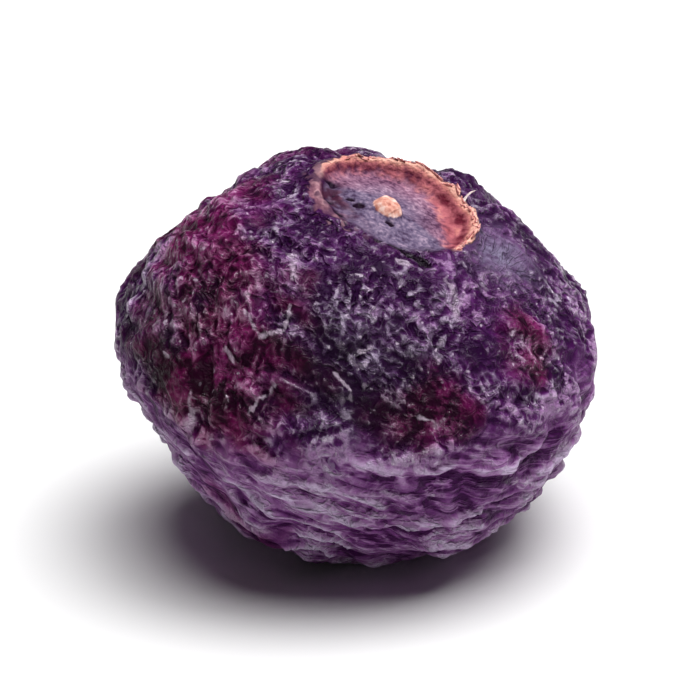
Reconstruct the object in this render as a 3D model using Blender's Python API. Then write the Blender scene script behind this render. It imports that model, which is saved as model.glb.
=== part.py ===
"""A freeze-dried blueberry.

It is one fruit and one solid: a slightly flattened ball of shrunken skin, with the round calyx
scar sunk into its top, the small stem scar opposite, and a small flat spot that it rests on.
Metres, +Z up. The origin is on the flat spot, straight below the fruit's middle. The fruit lies
leaning towards +X, so that its calyx scar faces up and a little to that side.
"""

import math

import bmesh
import bpy
from mathutils import Matrix, Vector, noise

MM = 0.001

# Size of the fruit, before its skin shrank into folds
WIDTH = 14.0 * MM
AXIS_LENGTH = 11.4 * MM
REST_HEIGHT = 5.45 * MM

# How it lies: its axis leans from the vertical, towards this heading from +X, and its skin is
# pressed smooth over this angle round the spot that it rests on
LEAN = math.radians(20)
LEAN_HEADING = math.radians(-21)
REST_REACH = math.radians(20)
REST_SMOOTHNESS = 0.9

# The upper half is boxier than an ellipse (under 1) and the lower half a little slimmer (over 1)
TOP_ROUNDNESS = 0.86
BOTTOM_ROUNDNESS = 1.06

# The calyx scar, a little off the fruit's axis: a flat disc inside a raised rim, which is
# tall on one side, with the stub of the flower's style in its middle
SCAR_SHIFT = Vector((-0.50, -0.40, 0)) * MM
DISC_RADIUS = 2.0 * MM
DISC_DEPTH = 0.38 * MM
RIM_RADIUS = 2.42 * MM
RIM_WIDTH = 0.26 * MM
RIM_RISE = 0.28 * MM
RIM_WANDER = 0.05
RIM_LOBES = 5
LOBE_SHARE = 0.25
TALL_SIDE = math.radians(48)
LOW_SIDE_SHARE = 0.30
MOAT_RADIUS = 3.05 * MM
MOAT_WIDTH = 0.40 * MM
MOAT_DEPTH = 0.20 * MM
STYLE_RADIUS = 0.44 * MM
STYLE_RISE = 0.19 * MM

# The stem scar, also off the axis: a small pit with a lip, in a shallow dimple
STEM_PLACE = Vector((-0.95, 0.35, 0)) * MM
DIMPLE_RADIUS = 1.35 * MM
DIMPLE_DEPTH = 0.38 * MM
PIT_RADIUS = 0.60 * MM
PIT_DEPTH = 0.38 * MM
LIP_RADIUS = 0.85 * MM
LIP_WIDTH = 0.17 * MM
LIP_RISE = 0.13 * MM

# The skin is smoother on both scars, and comes in over this width beyond them
SCAR_SMOOTHNESS = 0.85
SCAR_BORDER = 1.2 * MM

# Where the skin swells or has sunk in: polar angle from the calyx, heading, reach, rise
SWELLS_AND_DENTS = (
    (62, 156, 29, -1.05 * MM),
    (48, 18, 22, 0.50 * MM),
    (66, -8, 26, 0.12 * MM),
    (64, -92, 20, -0.15 * MM),
    (136, -152, 24, -0.55 * MM),
    (96, -70, 24, 0.12 * MM),
    (100, 60, 30, 0.20 * MM),
    (112, 105, 24, -0.20 * MM),
    (128, -15, 24, -0.20 * MM),
)

# The shrunken skin, from ridge to valley and in cycles a millimetre: broad lumps, folds that run
# round the base and fade out above it, and crumpling, which is weaker on the base
LUMP_HEIGHT = 0.34 * MM
LUMP_PITCH = 0.26
LUMP_PLACE = Vector((3.1, 0.4, 7.7))
FOLD_HEIGHT = 0.42 * MM
FOLD_PITCH = 0.80
FOLD_PITCH_ALONG = 0.24
FOLD_SHARE_ABOVE = 0.2
CRUMPLE_HEIGHT = 0.28 * MM
CRUMPLE_PITCH = 0.74
CRUMPLE_PLACE = Vector((9.2, 5.1, 1.3))
CRUMPLE_SHARE_ON_BASE = 0.5
VALLEY_SOFTNESS = 0.12

# How far the folds and the crumpling stray from straight lines, in cycles
FOLD_DRIFT = 0.9
CRUMPLE_DRIFT = 0.54
DRIFT_PLACES = (Vector((0, 0, 0)), Vector((17.3, 4.1, 8.2)), Vector((6.4, 29.5, 11.7)))

# The mesh: squares along each edge of the cube that is drawn out into the fruit
SQUARES = 31
CALYX_DENSITY = 0.42
CALYX_REACH = math.radians(43)
NEARLY_NOTHING = 1e-6

SKIN_COLOUR = (0.075, 0.030, 0.080, 1.0)
SKIN_ROUGHNESS = 0.45


def smooth_step(low, high, value):
    """0 below low, 1 above high, and an even curve between them."""
    share = min(1.0, max(0.0, (value - low) / (high - low)))
    return share * share * (3 - 2 * share)


def hump(value, centre, half_width):
    """1 at the centre, falling away smoothly to either side."""
    return math.exp(-(((value - centre) / half_width) ** 2))


def heading_vector(polar_deg, heading_deg):
    """The direction at a polar angle from the calyx and a heading round the axis."""
    polar, heading = math.radians(polar_deg), math.radians(heading_deg)
    return Vector(
        (
            math.sin(polar) * math.cos(heading),
            math.sin(polar) * math.sin(heading),
            math.cos(polar),
        )
    )


STRAIGHT_DOWN = heading_vector(180 - math.degrees(LEAN), math.degrees(LEAN_HEADING))


def round_direction(cube_point):
    """The direction that a point of the cube (2 wide) is drawn out to. The squares' edges become
    rings round the fruit's axis, which lie closer together at the calyx, for its finer form."""
    x, y, z = cube_point
    ring = max(abs(x), abs(y))
    if ring < NEARLY_NOTHING:
        heading = 0.0
    elif abs(x) >= abs(y):
        heading = math.pi / 4 * y / x + (math.pi if x < 0 else 0)
    else:
        heading = math.pi / 2 - math.pi / 4 * x / y + (math.pi if y < 0 else 0)
    level = z if ring > 1 - NEARLY_NOTHING else math.copysign(2 - ring, z)
    polar = math.pi / 2 - level * math.pi / 4
    polar -= CALYX_DENSITY * math.sin(polar) * hump(polar, 0, CALYX_REACH)
    return heading_vector(math.degrees(polar), math.degrees(heading))


def ball_point(direction):
    """The fruit's plain form: an ellipsoid with boxier shoulders and a slimmer base."""
    roundness = TOP_ROUNDNESS if direction.z > 0 else BOTTOM_ROUNDNESS
    height = math.copysign(abs(direction.z) ** roundness, direction.z)
    return Vector(
        (direction.x * WIDTH / 2, direction.y * WIDTH / 2, height * AXIS_LENGTH / 2)
    )


def calyx_relief(point):
    """How far the calyx scar stands out of the ball there, and how much of it is scar."""
    heading = math.atan2(point.y, point.x)
    wander = noise.noise(Vector((math.cos(heading), math.sin(heading), 0.3)) * 1.7)
    radius = math.hypot(point.x, point.y) * (1 + RIM_WANDER * wander)
    tall = 0.5 + 0.5 * math.cos(heading - TALL_SIDE)
    share = LOW_SIDE_SHARE + (1 - LOW_SIDE_SHARE) * tall
    lobes = 1 - LOBE_SHARE * (1 - math.cos(RIM_LOBES * heading + 2 * wander))
    disc = 1 - smooth_step(DISC_RADIUS - 0.10 * MM, RIM_RADIUS, radius)
    style = 1 - smooth_step(0.5 * STYLE_RADIUS, 1.3 * STYLE_RADIUS, radius)
    relief = -DISC_DEPTH * share * disc
    relief += RIM_RISE * share * lobes * hump(radius, RIM_RADIUS, RIM_WIDTH)
    relief -= MOAT_DEPTH * (1.1 - tall) * hump(radius, MOAT_RADIUS, MOAT_WIDTH)
    relief += STYLE_RISE * style
    return relief, 1 - smooth_step(RIM_RADIUS, RIM_RADIUS + SCAR_BORDER, radius)


def stem_relief(point):
    """How far the stem scar stands out of the ball there, and how much of it is scar."""
    radius = math.hypot(point.x - STEM_PLACE.x, point.y - STEM_PLACE.y)
    pit = 1 - smooth_step(0.6 * PIT_RADIUS, PIT_RADIUS + LIP_WIDTH, radius)
    relief = -DIMPLE_DEPTH * hump(radius, 0, DIMPLE_RADIUS) - PIT_DEPTH * pit
    relief += LIP_RISE * hump(radius, LIP_RADIUS, LIP_WIDTH)
    return relief, 1 - smooth_step(LIP_RADIUS, LIP_RADIUS + SCAR_BORDER, radius)


def crease(value):
    """Turns even noise into rounded ridges that meet in narrow valleys, about -0.5 to 0.5."""
    return min(1.0, 2.0 * math.hypot(value, VALLEY_SOFTNESS)) - 0.5


def sideways_drift(place):
    """A smooth, uneven shift that bends the folds out of straight lines, about -1 to 1."""
    return Vector([noise.noise(place * LUMP_PITCH + start) for start in DRIFT_PLACES])


def skin_relief(point, direction):
    """The lumps, the folds that run round the fruit's base, and the crumpling between them."""
    relief = 0.0
    for polar, heading, reach, rise in SWELLS_AND_DENTS:
        off = direction.angle(heading_vector(polar, heading))
        relief += rise * hump(off, 0, math.radians(reach))
    place = point / MM
    relief += LUMP_HEIGHT * noise.noise(place * LUMP_PITCH + LUMP_PLACE)
    drift = sideways_drift(place)
    level_pitch = Vector((FOLD_PITCH_ALONG, FOLD_PITCH_ALONG, FOLD_PITCH))
    folds = noise.noise(place * level_pitch + drift * FOLD_DRIFT)
    crumple = noise.noise(place * CRUMPLE_PITCH + drift * CRUMPLE_DRIFT + CRUMPLE_PLACE)
    base = smooth_step(0.05, 0.5, -direction.z)
    relief += FOLD_HEIGHT * (FOLD_SHARE_ABOVE + (1 - FOLD_SHARE_ABOVE) * base) * crease(folds)
    relief += CRUMPLE_HEIGHT * (1 - (1 - CRUMPLE_SHARE_ON_BASE) * base) * crease(crumple)
    pressed = hump(direction.angle(STRAIGHT_DOWN), 0, REST_REACH)
    return relief * (1 - REST_SMOOTHNESS * pressed)


def fruit_point(direction):
    """The point of the shrunken skin that lies in this direction from the fruit's middle."""
    plain = ball_point(direction)
    if direction.z > 0:
        scar, scarred = calyx_relief(plain)
    else:
        scar, scarred = stem_relief(plain)
    outwards = Vector(
        (plain.x / WIDTH**2, plain.y / WIDTH**2, plain.z / AXIS_LENGTH**2)
    ).normalized()
    shrinking = (1 - SCAR_SMOOTHNESS * scarred) * skin_relief(plain, direction)
    return plain + outwards * (scar + shrinking) + SCAR_SHIFT * smooth_step(0.2, 0.95, direction.z)


def squared_cube(squares):
    """A cube, 2 wide, with each face cut into squares."""
    mesh = bmesh.new()
    bmesh.ops.create_cube(mesh, size=2)
    bmesh.ops.subdivide_edges(mesh, edges=mesh.edges, cuts=squares - 1, use_grid_fill=True)
    return mesh


def lie_down():
    """Turns the fruit's axis from +Z to the way that it leans, and lifts it to its height."""
    turn = Matrix.Rotation(LEAN_HEADING, 4, "Z")
    lean = Matrix.Rotation(LEAN, 4, "Y")
    return Matrix.Translation((0, 0, REST_HEIGHT)) @ turn @ lean @ turn.inverted()


def skin_material():
    material = bpy.data.materials.new("dried_skin")
    material.use_nodes = True
    shader = material.node_tree.nodes["Principled BSDF"]
    shader.inputs["Base Color"].default_value = SKIN_COLOUR
    shader.inputs["Roughness"].default_value = SKIN_ROUGHNESS
    shader.inputs["Metallic"].default_value = 0.0
    return material


def make_blueberry(collection):
    shape = squared_cube(SQUARES)
    resting = lie_down()
    for vertex in shape.verts:
        vertex.co = resting @ fruit_point(round_direction(vertex.co))
        # The weight presses the underside flat where it touches.
        vertex.co.z = max(0.0, vertex.co.z)
    bmesh.ops.triangulate(shape, faces=shape.faces)
    mesh = bpy.data.meshes.new("blueberry")
    shape.to_mesh(mesh)
    shape.free()
    mesh.shade_smooth()
    mesh.set_sharp_from_angle(angle=math.radians(60))
    mesh.materials.append(skin_material())
    fruit = bpy.data.objects.new("blueberry", mesh)
    collection.objects.link(fruit)
    return fruit


def main():
    for old in list(bpy.data.objects):
        bpy.data.objects.remove(old)
    collection = bpy.data.collections.new("freeze_dried_blueberry")
    bpy.context.scene.collection.children.link(collection)
    make_blueberry(collection)


main()
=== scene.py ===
"""A freeze-dried blueberry on a pale surface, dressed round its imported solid."""

import math

import bmesh
import bpy
import numpy as np
from mathutils import Matrix, Vector, kdtree, noise


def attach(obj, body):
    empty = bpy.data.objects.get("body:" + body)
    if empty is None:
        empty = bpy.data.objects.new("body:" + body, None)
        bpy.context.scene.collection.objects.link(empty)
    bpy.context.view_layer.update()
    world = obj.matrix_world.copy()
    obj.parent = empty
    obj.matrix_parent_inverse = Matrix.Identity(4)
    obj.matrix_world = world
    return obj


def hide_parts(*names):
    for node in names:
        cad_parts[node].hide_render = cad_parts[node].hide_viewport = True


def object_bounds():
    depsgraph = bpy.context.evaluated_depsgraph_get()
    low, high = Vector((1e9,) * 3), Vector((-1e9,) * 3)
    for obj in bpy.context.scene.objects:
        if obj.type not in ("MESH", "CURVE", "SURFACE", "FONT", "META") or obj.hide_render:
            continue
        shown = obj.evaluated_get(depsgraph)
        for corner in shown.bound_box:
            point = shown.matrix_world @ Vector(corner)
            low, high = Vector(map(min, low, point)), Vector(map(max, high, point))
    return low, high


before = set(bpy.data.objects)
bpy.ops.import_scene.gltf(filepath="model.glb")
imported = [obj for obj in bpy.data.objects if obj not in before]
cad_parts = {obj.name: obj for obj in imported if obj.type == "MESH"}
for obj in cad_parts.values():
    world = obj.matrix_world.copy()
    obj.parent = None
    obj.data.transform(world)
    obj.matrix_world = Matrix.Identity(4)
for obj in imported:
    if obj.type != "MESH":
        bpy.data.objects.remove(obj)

CAD_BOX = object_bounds()
MM = 0.001


# The fruit's form
# One berry, freeze-dried whole: the skin keeps its full size while the flesh under it dries to
# foam, so it is a slightly flattened ball that has sunk in here and there, with folds round its
# base. The flower's scar is a flat disc inside a rim, and the stalk's is a small pit opposite.
WIDTH = 14.0 * MM
AXIS_LENGTH = 11.4 * MM
REST_HEIGHT = 5.45 * MM
LEAN = math.radians(20)
LEAN_HEADING = math.radians(-21)
REST_REACH = math.radians(20)
REST_SMOOTHNESS = 0.9
TOP_ROUNDNESS = 0.86
BOTTOM_ROUNDNESS = 1.06

# The calyx scar: its disc, the rim, the shallow moat outside it, and the mound under the style
SCAR_SHIFT = Vector((-0.50, -0.40, 0)) * MM
DISC_RADIUS = 2.0 * MM
DISC_DEPTH = 0.38 * MM
RIM_RADIUS = 2.42 * MM
RIM_WIDTH = 0.26 * MM
RIM_RISE = 0.28 * MM
RIM_WANDER = 0.05
RIM_LOBES = 5
LOBE_SHARE = 0.25
TALL_SIDE = math.radians(48)
LOW_SIDE_SHARE = 0.30
MOAT_RADIUS = 3.05 * MM
MOAT_WIDTH = 0.40 * MM
MOAT_DEPTH = 0.20 * MM
STYLE_RADIUS = 0.44 * MM
STYLE_RISE = 0.19 * MM

# The stem scar, opposite: a dimple that holds a pit with a raised lip
STEM_PLACE = Vector((-0.95, 0.35, 0)) * MM
DIMPLE_RADIUS = 1.35 * MM
DIMPLE_DEPTH = 0.38 * MM
PIT_RADIUS = 0.60 * MM
PIT_DEPTH = 0.38 * MM
LIP_RADIUS = 0.85 * MM
LIP_WIDTH = 0.17 * MM
LIP_RISE = 0.13 * MM

# How much of the skin's relief is smoothed away on the scars, and how far past them
SCAR_SMOOTHNESS = 0.85
SCAR_BORDER = 1.2 * MM

# Polar angle from the calyx, heading, reach and rise of each swelling or sunken place
SWELLS_AND_DENTS = (
    (62, 156, 29, -1.05 * MM),
    (48, 18, 22, 0.50 * MM),
    (66, -8, 26, 0.12 * MM),
    (64, -92, 20, -0.15 * MM),
    (136, -152, 24, -0.55 * MM),
    (96, -70, 24, 0.12 * MM),
    (100, 60, 30, 0.20 * MM),
    (112, 105, 24, -0.20 * MM),
    (128, -15, 24, -0.20 * MM),
)

# The skin's lumps, level folds and crumples. Pitches are in steps of noise per mm, and the drifts
# are how far a slower noise pushes the folds and crumples off their even pitch.
LUMP_HEIGHT = 0.34 * MM
LUMP_PITCH = 0.26
LUMP_PLACE = Vector((3.1, 0.4, 7.7))
FOLD_HEIGHT = 0.42 * MM
FOLD_PITCH = Vector((0.24, 0.24, 0.80))
FOLD_SHARE_ABOVE = 0.2
CRUMPLE_HEIGHT = 0.28 * MM
CRUMPLE_PITCH = 0.74
CRUMPLE_PLACE = Vector((9.2, 5.1, 1.3))
CRUMPLE_SHARE_ON_BASE = 0.5
VALLEY_SOFTNESS = 0.12
FOLD_DRIFT = 0.9
CRUMPLE_DRIFT = 0.54
DRIFT_PLACES = (Vector((0, 0, 0)), Vector((17.3, 4.1, 8.2)), Vector((6.4, 29.5, 11.7)))

# The skin's mesh, which is drawn closer together towards the calyx
SQUARES = 128
CALYX_DENSITY = 0.30
CALYX_REACH = math.radians(43)
NEARLY_NOTHING = 1e-6


def smooth_step(low, high, value):
    """0 below low, 1 above high, and an even curve between them. Takes arrays too."""
    share = np.clip((value - low) / (high - low), 0.0, 1.0)
    return share * share * (3 - 2 * share)


def hump(value, centre, half_width):
    """1 at the centre, falling away smoothly to either side. Takes arrays too."""
    return np.exp(-(((value - centre) / half_width) ** 2))


def heading_vector(polar, heading):
    """The direction at a polar angle from the calyx and a heading round the fruit's axis."""
    flat = math.sin(polar)
    return Vector((flat * math.cos(heading), flat * math.sin(heading), math.cos(polar)))


def round_direction(cube_point):
    """Where a point of a cube 2 wide goes on a ball whose rings run round the fruit's axis."""
    x, y, z = cube_point
    ring = max(abs(x), abs(y))
    if ring < NEARLY_NOTHING:
        heading = 0.0
    elif abs(x) >= abs(y):
        heading = math.pi / 4 * y / x + (math.pi if x < 0 else 0)
    else:
        heading = math.pi / 2 - math.pi / 4 * x / y + (math.pi if y < 0 else 0)
    level = z if ring > 1 - NEARLY_NOTHING else math.copysign(2 - ring, z)
    polar = math.pi / 2 - level * math.pi / 4
    polar -= CALYX_DENSITY * math.sin(polar) * math.exp(-((polar / CALYX_REACH) ** 2))
    return heading_vector(polar, heading)


def noise_at(places):
    """Smooth noise, about -1 to 1, at each row of an array of places."""
    return np.array([noise.noise(place) for place in places.tolist()])


def crease(value, softness=VALLEY_SOFTNESS):
    """Turns even noise into rounded ridges that meet in narrow valleys, about -0.5 to 0.5."""
    return np.minimum(1.0, 2.0 * np.hypot(value, softness)) - 0.5


squared = bmesh.new()
bmesh.ops.create_cube(squared, size=2)
bmesh.ops.subdivide_edges(squared, edges=squared.edges, cuts=SQUARES - 1, use_grid_fill=True)
way = np.array([round_direction(vertex.co) for vertex in squared.verts])
heading = np.arctan2(way[:, 1], way[:, 0])
above = way[:, 2] > 0

# The plain ball, and the way out of it at each point
roundness = np.where(above, TOP_ROUNDNESS, BOTTOM_ROUNDNESS)
ball = way * WIDTH / 2
ball[:, 2] = np.sign(way[:, 2]) * np.abs(way[:, 2]) ** roundness * AXIS_LENGTH / 2
outwards = ball / np.array((WIDTH**2, WIDTH**2, AXIS_LENGTH**2))
outwards /= np.linalg.norm(outwards, axis=1, keepdims=True)

# The calyx scar
round_rim = np.stack((np.cos(heading), np.sin(heading), np.full(len(way), 0.3)), axis=1)
wander = noise_at(round_rim * 1.7)
from_calyx = np.hypot(ball[:, 0], ball[:, 1]) * (1 + RIM_WANDER * wander)
tall = 0.5 + 0.5 * np.cos(heading - TALL_SIDE)
rim_share = LOW_SIDE_SHARE + (1 - LOW_SIDE_SHARE) * tall
lobes = 1 - LOBE_SHARE * (1 - np.cos(RIM_LOBES * heading + 2 * wander))
calyx = -DISC_DEPTH * rim_share * (1 - smooth_step(DISC_RADIUS - 0.10 * MM, RIM_RADIUS, from_calyx))
calyx += RIM_RISE * rim_share * lobes * hump(from_calyx, RIM_RADIUS, RIM_WIDTH)
calyx -= MOAT_DEPTH * (1.1 - tall) * hump(from_calyx, MOAT_RADIUS, MOAT_WIDTH)
calyx += STYLE_RISE * (1 - smooth_step(0.5 * STYLE_RADIUS, 1.3 * STYLE_RADIUS, from_calyx))
calyx_cover = 1 - smooth_step(RIM_RADIUS, RIM_RADIUS + SCAR_BORDER, from_calyx)

# The stem scar
from_stem = np.hypot(ball[:, 0] - STEM_PLACE.x, ball[:, 1] - STEM_PLACE.y)
stem = -PIT_DEPTH * (1 - smooth_step(0.6 * PIT_RADIUS, PIT_RADIUS + LIP_WIDTH, from_stem))
stem -= DIMPLE_DEPTH * hump(from_stem, 0, DIMPLE_RADIUS)
stem += LIP_RISE * hump(from_stem, LIP_RADIUS, LIP_WIDTH)
stem_cover = 1 - smooth_step(LIP_RADIUS, LIP_RADIUS + SCAR_BORDER, from_stem)

scar = np.where(above, calyx, stem)
scarred = np.where(above, calyx_cover, stem_cover)

# The shrinking of the skin between the scars
shrinking = np.zeros(len(way))
for polar_deg, heading_deg, reach_deg, rise in SWELLS_AND_DENTS:
    middle = heading_vector(math.radians(polar_deg), math.radians(heading_deg))
    off = np.arccos(np.clip(way @ np.array(middle), -1, 1))
    shrinking += rise * hump(off, 0, math.radians(reach_deg))
places = ball / MM
lump = noise_at(places * LUMP_PITCH + np.array(LUMP_PLACE))
drift = np.stack([noise_at(places * LUMP_PITCH + np.array(start)) for start in DRIFT_PLACES], axis=1)
folds = crease(noise_at(places * np.array(FOLD_PITCH) + drift * FOLD_DRIFT))
crumple = crease(noise_at(places * CRUMPLE_PITCH + drift * CRUMPLE_DRIFT + np.array(CRUMPLE_PLACE)))
base = smooth_step(0.05, 0.5, -way[:, 2])
shrinking += LUMP_HEIGHT * lump
shrinking += FOLD_HEIGHT * (FOLD_SHARE_ABOVE + (1 - FOLD_SHARE_ABOVE) * base) * folds
shrinking += CRUMPLE_HEIGHT * (1 - (1 - CRUMPLE_SHARE_ON_BASE) * base) * crumple
straight_down = heading_vector(math.pi - LEAN, LEAN_HEADING)
from_rest = np.arccos(np.clip(way @ np.array(straight_down), -1, 1))
shrinking *= 1 - REST_SMOOTHNESS * hump(from_rest, 0, REST_REACH)

form = ball + outwards * (scar + (1 - SCAR_SMOOTHNESS * scarred) * shrinking)[:, None]
form += np.array(SCAR_SHIFT) * smooth_step(0.2, 0.95, way[:, 2])[:, None]

# The wrinkles. The skin is stiffer than the dry foam under it, so where the flesh shrinks it
# buckles into fine ridges: short and every way above, long and level round the base.
RUNS = 9000
RUN_LENGTH = 0.38 * MM
RUN_LENGTH_SHARES = (0.6, 1.7)
RUN_CUTOFF = 1.8
RUN_WIDTH = 0.20 * MM
FINE_SPACING = 0.29 * MM
FINE_HEIGHT = 0.030 * MM
NARROWEST_RUN = 0.8
RUN_WIDENING = 1.3
WRINKLE_SEED = 41
CRUMPLED_HEIGHT = 0.14 * MM
CRUMPLED_PITCH = 1.15
CRUMPLED_PLACE = Vector((5.3, 2.2, 9.9))
LEVEL_HEIGHT = 0.13 * MM
LEVEL_PITCH = Vector((0.42, 0.42, 1.9))
CRINKLE_HEIGHT = 0.035 * MM
CRINKLE_PITCH = 2.8
CRINKLE_PITCH_ON_BASE = Vector((1.0, 1.0, 3.6))

# The base's band of level folds: the height of its edge, the ledge there, and its pleat-like hems
BAND_TOP = math.radians(85)
BAND_TILT = math.radians(21)
HEM_SPACING = 1.05 * MM
HEM_WIDTH = 0.12 * MM
HEM_HEIGHT = 0.15 * MM
LEDGE_HEIGHT = 0.16 * MM
LEDGE_PLACE = math.radians(-2)
LEDGE_WIDTH = math.radians(5)

# Two long folds that stand out on the front of the base, as headings and polar angles along them
LONG_FOLD_HEIGHT = 0.12 * MM
LONG_FOLD_WIDTH = 0.15 * MM
LONG_FOLDS = (
    ((-92, -82, -69, -61, -50, -43, -34), (86, 84, 83, 83, 82, 81, 75)),
    ((-78, -68, -58, -48, -38, -28, -18), (106, 103, 99, 94, 90, 87, 85)),
)

# A smooth waxy place beside the rim, and the side where the rim has worn back
SMOOTH_PLACE = heading_vector(math.radians(29), math.radians(-8))
SMOOTH_REACH = math.radians(8)
WORN_SIDE = math.radians(-85)
WORN_REACH = math.radians(66)
FULLY_WORN_REACH = math.radians(36)
WORN_BACK = 0.50 * MM

# Whatever comes nearer than this to a side of the solid's box is eased back inside
BOX_MARGIN = 0.16 * MM


def round_from(middle):
    """How far round the fruit each point's heading is from this one."""
    return np.abs(np.angle(np.exp(1j * (heading - middle))))


def short_ridges(angles, stray, spacing):
    """Ridges (about 1) and valleys (about -1), in short runs that lie over each other.

    Each run is a small patch of even ridges, turned from level by the angle given for its place
    and a stray one, and wider or narrower than the next.
    """
    skin_places = kdtree.KDTree(len(form))
    for index, place in enumerate(form.tolist()):
        skin_places.insert(place, index)
    skin_places.balance()
    chance = np.random.default_rng(WRINKLE_SEED)
    total = np.zeros(len(form))
    power = np.full(len(form), 0.05)
    for middle in chance.integers(0, len(form), RUNS):
        level_way = np.array((-outwards[middle, 1], outwards[middle, 0], 0)) + NEARLY_NOTHING
        level_way /= np.linalg.norm(level_way)
        upright_way = np.cross(outwards[middle], level_way)
        angle = angles[middle] + stray[middle] * chance.normal()
        along = math.cos(angle) * level_way + math.sin(angle) * upright_way
        across = np.cross(outwards[middle], along)
        length = RUN_LENGTH * chance.uniform(*RUN_LENGTH_SHARES)
        in_reach = skin_places.find_range(form[middle], RUN_CUTOFF * length)
        near = np.array([found[1] for found in in_reach])
        off = form[near] - form[middle]
        off_across = off @ across
        widening = NARROWEST_RUN + RUN_WIDENING * chance.random() ** 2
        run_width = RUN_WIDTH * math.sqrt(widening)
        weight = np.exp(-((off @ along / length) ** 2) - (off_across / run_width) ** 2)
        phase = off_across / (spacing[middle] * widening) + chance.random()
        total[near] += weight * np.cos(2 * math.pi * phase)
        power[near] += weight**2
    return total / np.sqrt(power)


# Three even noises, from broad to small, that keep patches, edges and ridges irregular
polar = np.arccos(np.clip(way[:, 2], -1, 1))
patchy = noise_at(places * 0.55 + np.array((4.4, 8.1, 2.2)))
uneven = noise_at(places * 0.9 + np.array((14.4, 3.1, 7.2)))
broken = noise_at(places * 1.7 + np.array((2.7, 5.1, 8.8)))

# How much each place belongs to the base's band, to the smooth places and to the worn side
band_edge = BAND_TOP - BAND_TILT * np.cos(heading) + 0.16 * uneven
band = smooth_step(-0.07, 0.13, polar - band_edge)
from_smooth = np.arccos(np.clip(way @ np.array(SMOOTH_PLACE), -1, 1))
smoothed = hump(from_smooth, 0, SMOOTH_REACH)
worn = smooth_step(WORN_REACH, FULLY_WORN_REACH, round_from(WORN_SIDE)) * above
skin_edge = RIM_RADIUS - WORN_BACK * worn + 0.10 * MM * uneven
beside_calyx = 1 - smooth_step(skin_edge, skin_edge + 0.35 * MM, from_calyx)
beside_stem = 1 - smooth_step(LIP_RADIUS, LIP_RADIUS + 0.5 * MM, from_stem)
bare = np.maximum(np.where(above, beside_calyx, beside_stem), hump(from_rest, 0, REST_REACH))
bare = np.maximum(bare, 0.85 * smoothed)

ridge_angle = (5.0 * lump + 2.5 * patchy) * (1 - band)
spacing = FINE_SPACING * np.maximum(1 + 0.8 * uneven + 0.2 * band, 0.85)
fine = 1.25 * short_ridges(ridge_angle, 0.95 - 0.65 * band, spacing)
fine *= (1 - bare) * np.clip(0.75 + 1.0 * broken + 0.9 * uneven, 0.2, 1.4) * (1 - 0.35 * band)
crumpled = crease(noise_at(places * CRUMPLED_PITCH + drift * 1.3 + np.array(CRUMPLED_PLACE)))
level = crease(noise_at(places * np.array(LEVEL_PITCH) + drift * 1.6))
crinkle_way = drift * 1.8 + np.array((8.8, 1.4, 6.1))
upright_crinkle = 0.5 - crease(noise_at(places * CRINKLE_PITCH + crinkle_way), 0.05)
level_crinkle = 0.5 - crease(noise_at(places * np.array(CRINKLE_PITCH_ON_BASE) + crinkle_way), 0.05)
crinkle = upright_crinkle + (level_crinkle - upright_crinkle) * band
middling = CRUMPLED_HEIGHT * (1 - 0.75 * band) * crumpled + LEVEL_HEIGHT * band * level
hem_phase = polar * WIDTH / 2 / HEM_SPACING + 1.1 * lump + 0.5 * patchy + 0.35 * uneven
off_hem = np.abs(hem_phase - np.round(hem_phase)) * HEM_SPACING
hem = hump(off_hem, 0, HEM_WIDTH) * smooth_step(-0.30, 0.10, patchy + 0.4 * uneven)
long_fold = np.zeros(len(way))
for headings, polars in LONG_FOLDS:
    path = np.radians(np.interp(np.degrees(heading), headings, polars)) + 0.05 * uneven + 0.03 * broken
    ends = smooth_step(headings[0], headings[1], np.degrees(heading))
    ends *= smooth_step(headings[-1], headings[-2], np.degrees(heading)) * (0.8 + broken)
    below = (polar - path) * WIDTH / 2
    groove_below = hump(below, 2.1 * LONG_FOLD_WIDTH, LONG_FOLD_WIDTH)
    long_fold = long_fold + ends * (hump(below, 0, LONG_FOLD_WIDTH) - 0.6 * groove_below)
middling += HEM_HEIGHT * band * hem + LONG_FOLD_HEIGHT * long_fold
middling += LEDGE_HEIGHT * hump(polar - band_edge, LEDGE_PLACE, LEDGE_WIDTH) * (0.7 + uneven)
middling *= 1 - bare

# The calyx: strands and beads in the rim's dry tissue, with small holes inside its left side. The
# rim has worn away on its low side, where the disc runs out to a crease in the skin.
TAN_SIDE = math.radians(63)
PINK_SIDE = math.radians(-165)
RIGHT_SIDE = math.radians(10)
CREASE_LEFT_END = (math.radians(-152), math.radians(-138))
CREASE_RIGHT_END = (math.radians(-62), math.radians(-66))
CREASE_BROKEN_UP_TO = math.radians(-94)
CREASE_HEADING = math.radians(-88)
CREASE_RADIUS = 2.20 * MM
CREASE_WIDTH = 0.11 * MM
CREST_RISE = 0.13
KNOB_RADIUS = 0.47 * MM
KNOB_PLACE = Vector((-0.20, -0.46, 0)) * MM
GROOVE_RADIUS = RIM_RADIUS - 0.27 * MM

# Small holes and dark specks round the calyx's left side, their insides painted near black as
# shade: x and y across it and half width, in mm
HOLES = (
    (-1.90, 0.38, 0.14),
    (-2.00, -0.80, 0.10),
    (-1.84, -0.30, 0.07),
    (-1.62, -1.50, 0.09),
    (-1.34, -0.38, 0.11),
    (-1.08, -0.62, 0.14),
    (-0.04, -1.16, 0.10),
)

tan_side = smooth_step(-0.30, -0.04, np.cos(heading - TAN_SIDE) + 0.15 * uneven) * above
left_side = hump(round_from(PINK_SIDE), 0, math.radians(36)) * above
along_rim = np.stack((np.cos(heading) * 5.0, np.sin(heading) * 5.0, from_calyx / MM * 4.4), axis=1)
strand = noise_at(along_rim + np.array((1.5, 6.2, 3.3)))
bead = noise_at(along_rim * 0.55 + np.array((7.5, 2.2, 4.3)))

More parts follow.
